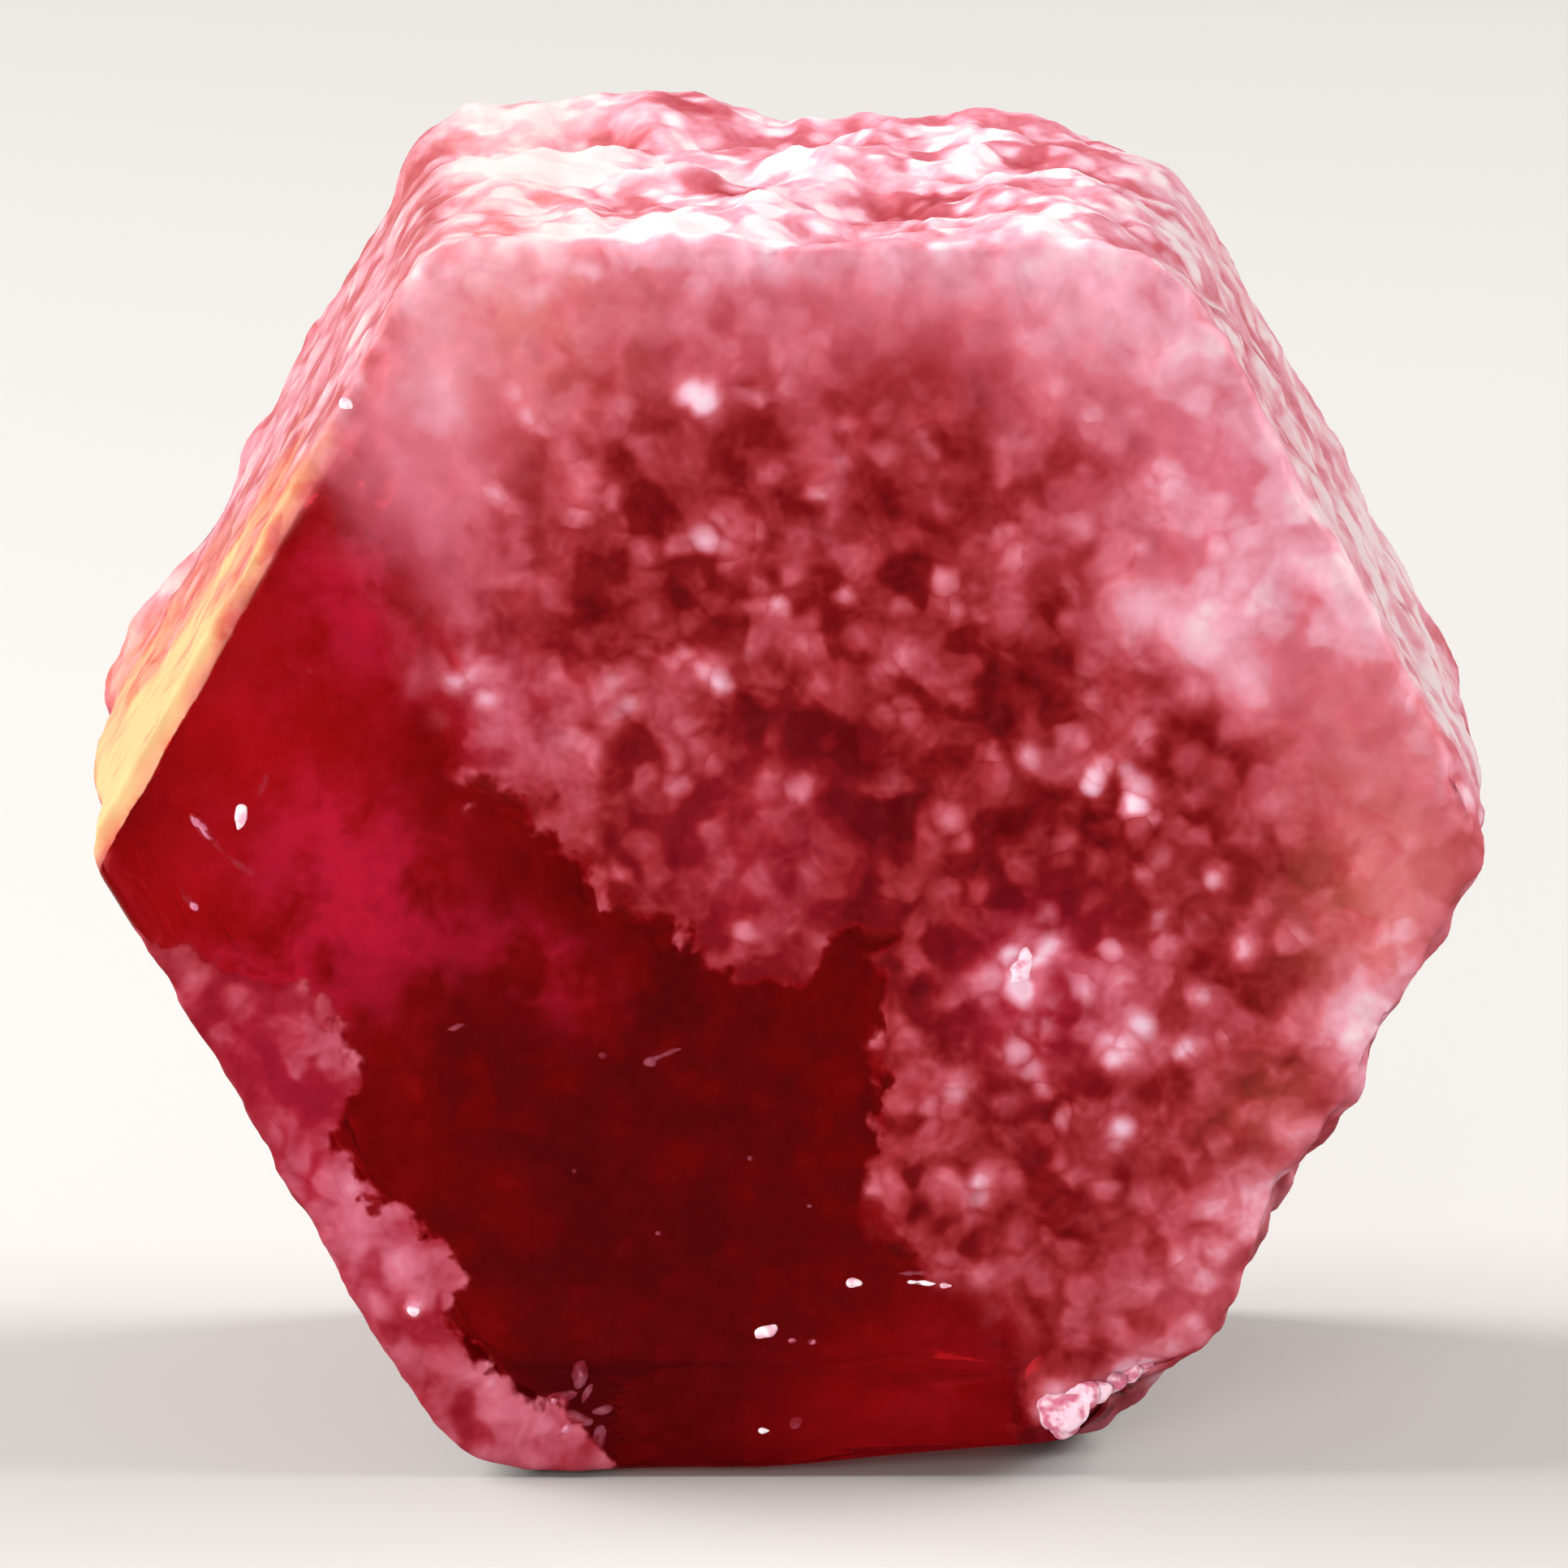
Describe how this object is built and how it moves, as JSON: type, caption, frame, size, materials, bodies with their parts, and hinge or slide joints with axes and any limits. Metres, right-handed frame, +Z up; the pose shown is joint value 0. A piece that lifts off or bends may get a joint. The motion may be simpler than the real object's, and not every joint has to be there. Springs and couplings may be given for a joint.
{
  "type": "red beryl crystal",
  "caption": "Stubby six-sided prism of natural red beryl, part glassy and part frosted, lying on one prism face as a display specimen.",
  "frame": {"origin": "on the plane that the crystal rests on, below the middle of its bounding box", "axes": "+Z up; +Y along the crystal's c-axis, from the grown basal face towards the broken end; +X to the right seen from the basal face"},
  "size_m": [0.0099, 0.0054, 0.0091],
  "materials": {
    "red_beryl": "clear deep red beryl, partly frosted by a granular pink-white etched crust"
  },
  "bodies": {
    "root": {"crystal": "red_beryl"}
  },
  "joints": []
}
